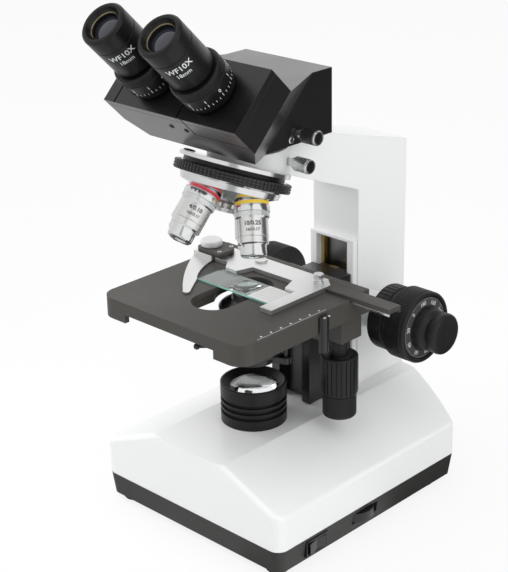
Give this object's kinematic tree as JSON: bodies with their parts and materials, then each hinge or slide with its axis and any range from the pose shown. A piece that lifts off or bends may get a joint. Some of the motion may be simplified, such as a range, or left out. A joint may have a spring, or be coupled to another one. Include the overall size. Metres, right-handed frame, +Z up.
{
  "type": "binocular compound microscope",
  "caption": "Upright lab microscope: boxy base with lamp, bent arm, revolving nosepiece with objectives, mechanical stage, condenser, coaxial focus knobs and inclined binocular head.",
  "frame": {"origin": "on the table top, straight below the optical axis of the stage and the objective in use", "axes": "+Z up along the optical axis, -Y towards the user, +X to the user's right"},
  "size_m": [0.215, 0.2763, 0.4099],
  "materials": {
    "white_paint": "satin",
    "black_paint": "satin",
    "black_plastic": "matte",
    "switch_plastic": "gloss",
    "rubber": "matte",
    "board": "matte",
    "bulb_glass": "gloss",
    "lens_glass": "gloss",
    "slide_glass": "gloss",
    "brass": "satin",
    "chrome": "polished",
    "steel": "brushed",
    "steel_dark": "satin"
  },
  "bodies": {
    "frame": {"base_housing": "white_paint", "base_tray": "black_plastic", "feet": "rubber", "switch_bezel": "black_plastic", "lamp_board": "board", "lamp_bulb": "bulb_glass", "mains_inlet": "black_plastic", "illuminator_housing": "black_paint", "collector_lens": "lens_glass", "arm_casting": "white_paint", "guide_strips": "brass", "nosepiece_plate": "chrome", "nosepiece_spindle": "steel"},
    "switch": {"switch_rocker": "switch_plastic"},
    "dimmer": {"dimmer_wheel": "black_plastic"},
    "turret": {"turret_body": "chrome", "turret_ring": "black_paint", "objective_4x": "chrome", "objective_10x": "chrome", "objective_40x": "chrome", "objective_100x": "chrome"},
    "head": {"head_housing": "black_paint"},
    "eye_right": {"eyepiece_plate_right": "black_paint"},
    "eye_left": {"eyepiece_plate_left": "black_paint"},
    "diopter_right": {"diopter_ring_right": "black_plastic"},
    "diopter_left": {"diopter_ring_left": "black_plastic"},
    "ocular_right": {"eyepiece_right": "black_paint", "eye_lens_right": "lens_glass"},
    "ocular_left": {"eyepiece_left": "black_paint", "eye_lens_left": "lens_glass"},
    "arm_lock": {"arm_screw": "chrome"},
    "head_lock": {"head_screw": "steel_dark"},
    "stage": {"stage_carriage": "black_paint", "focus_rack": "brass", "stage_lower_plate": "black_paint", "scale_pointer": "black_paint"},
    "stage_y": {"stage_top_plate": "black_paint", "x_guide_rail": "black_paint", "drive_housing": "black_paint"},
    "stage_x": {"x_bar": "black_paint", "slide_holder": "steel", "holder_screws": "steel", "finger_block": "black_paint", "specimen_slide": "slide_glass"},
    "finger": {"slide_finger": "steel", "finger_cap": "steel"},
    "y_drive": {"y_knob": "black_plastic"},
    "x_drive": {"x_knob": "black_plastic"},
    "condenser": {"condenser_body": "black_paint", "condenser_lens": "lens_glass"},
    "condenser_drive": {"condenser_knob": "black_plastic"},
    "iris": {"iris_lever": "black_paint"},
    "filter": {"filter_ring": "black_paint"},
    "coarse": {"coarse_shaft": "steel", "coarse_knob_right": "black_plastic", "coarse_knob_left": "black_plastic"},
    "fine": {"fine_shaft": "steel", "fine_knob_right": "black_plastic", "fine_knob_left": "black_plastic"},
    "tension": {"tension_collar": "black_plastic"}
  },
  "joints": [
    {"name": "focus", "type": "slide", "parent": "frame", "child": "stage", "axis": [0, 0, 1], "range_m": [0, 0.0215]},
    {"name": "coarse_turn", "type": "hinge", "parent": "frame", "child": "coarse", "pos_m": [0, 0.104, 0.141], "axis": [1, 0, 0], "range_deg": [-178, 2]},
    {"name": "fine_turn", "type": "hinge", "parent": "coarse", "child": "fine", "pos_m": [0, 0.104, 0.141], "axis": [1, 0, 0], "range_deg": [-900, 900]},
    {"name": "tension_turn", "type": "hinge", "parent": "frame", "child": "tension", "pos_m": [0, 0.104, 0.141], "axis": [1, 0, 0], "range_deg": [0, 120]},
    {"name": "stage_y_travel", "type": "slide", "parent": "stage", "child": "stage_y", "axis": [0, 1, 0], "range_m": [-0.005, 0.025]},
    {"name": "stage_x_travel", "type": "slide", "parent": "stage_y", "child": "stage_x", "axis": [1, 0, 0], "range_m": [-0.035, 0.035]},
    {"name": "y_drive_turn", "type": "hinge", "parent": "stage_y", "child": "y_drive", "pos_m": [0.058, 0.034, 0.12], "axis": [0, 0, 1], "range_deg": [-45, 210]},
    {"name": "x_drive_turn", "type": "hinge", "parent": "stage_y", "child": "x_drive", "pos_m": [0.058, 0.034, 0.095], "axis": [0, 0, 1], "range_deg": [-450, 450]},
    {"name": "finger_open", "type": "hinge", "parent": "stage_x", "child": "finger", "pos_m": [-0.068, 0.0255, 0.195], "axis": [0, 0, 1], "range_deg": [-35, 0], "stiffness_Nm_per_rad": 0.05, "springref_deg": 22.92},
    {"name": "condenser_lift", "type": "slide", "parent": "stage", "child": "condenser", "axis": [0, 0, 1], "range_m": [-0.012, 0]},
    {"name": "condenser_drive_turn", "type": "hinge", "parent": "stage", "child": "condenser_drive", "pos_m": [-0.02, 0.0542, 0.151], "axis": [1, 0, 0], "range_deg": [0, 140]},
    {"name": "iris_turn", "type": "hinge", "parent": "condenser", "child": "iris", "pos_m": [0, 0, 0.1365], "axis": [0, 0, 1], "range_deg": [-25, 25]},
    {"name": "filter_swing", "type": "hinge", "parent": "condenser", "child": "filter", "pos_m": [0.0248, 0.0103, 0.128], "axis": [0, 0, 1], "range_deg": [0, 90]},
    {"name": "turret_turn", "type": "hinge", "parent": "frame", "child": "turret", "pos_m": [0, 0, 0.3173], "axis": [0, 0.3746, 0.9272], "continuous": true},
    {"name": "head_turn", "type": "hinge", "parent": "frame", "child": "head", "pos_m": [0, 0, 0.303], "axis": [0, 0, 1], "continuous": true},
    {"name": "eye_right_slide", "type": "slide", "parent": "head", "child": "eye_right", "axis": [1, 0, 0], "range_m": [0, 0.01]},
    {"name": "eye_left_slide", "type": "slide", "parent": "head", "child": "eye_left", "axis": [1, 0, 0], "range_m": [-0.01, 0]},
    {"name": "diopter_right_turn", "type": "hinge", "parent": "eye_right", "child": "diopter_right", "pos_m": [0.0275, -0.06014, 0.35182], "axis": [0, -0.7071, 0.7071], "range_deg": [-90, 90]},
    {"name": "diopter_left_turn", "type": "hinge", "parent": "eye_left", "child": "diopter_left", "pos_m": [-0.0275, -0.06014, 0.35182], "axis": [0, -0.7071, 0.7071], "range_deg": [-90, 90]},
    {"name": "ocular_right_lift", "type": "slide", "parent": "eye_right", "child": "ocular_right", "axis": [0, -0.7071, 0.7071], "range_m": [0, 0.03]},
    {"name": "ocular_left_lift", "type": "slide", "parent": "eye_left", "child": "ocular_left", "axis": [0, -0.7071, 0.7071], "range_m": [0, 0.03]},
    {"name": "arm_lock_turn", "type": "hinge", "parent": "frame", "child": "arm_lock", "pos_m": [0.03, 0.014, 0.285], "axis": [1, 0, 0], "range_deg": [0, 360]},
    {"name": "head_lock_turn", "type": "hinge", "parent": "head", "child": "head_lock", "pos_m": [0.045, 0.008, 0.31], "axis": [1, 0, 0], "range_deg": [0, 360]},
    {"name": "switch_tip", "type": "hinge", "parent": "frame", "child": "switch", "pos_m": [0.0899, -0.032, 0.0145], "axis": [0, 0, 1], "range_deg": [-8, 0]},
    {"name": "dimmer_turn", "type": "hinge", "parent": "frame", "child": "dimmer", "pos_m": [0.081, 0.0236, 0.016], "axis": [0, 0, 1], "range_deg": [0, 270]}
  ],
  "couplings": [
    {"joint": "coarse_turn", "follows": "focus", "rad_per_m": -142.86},
    {"joint": "y_drive_turn", "follows": "stage_y_travel", "rad_per_m": 142.86},
    {"joint": "x_drive_turn", "follows": "stage_x_travel", "rad_per_m": 222.22},
    {"joint": "condenser_drive_turn", "follows": "condenser_lift", "rad_per_m": -200},
    {"joint": "eye_left_slide", "follows": "eye_right_slide", "ratio": -1}
  ]
}
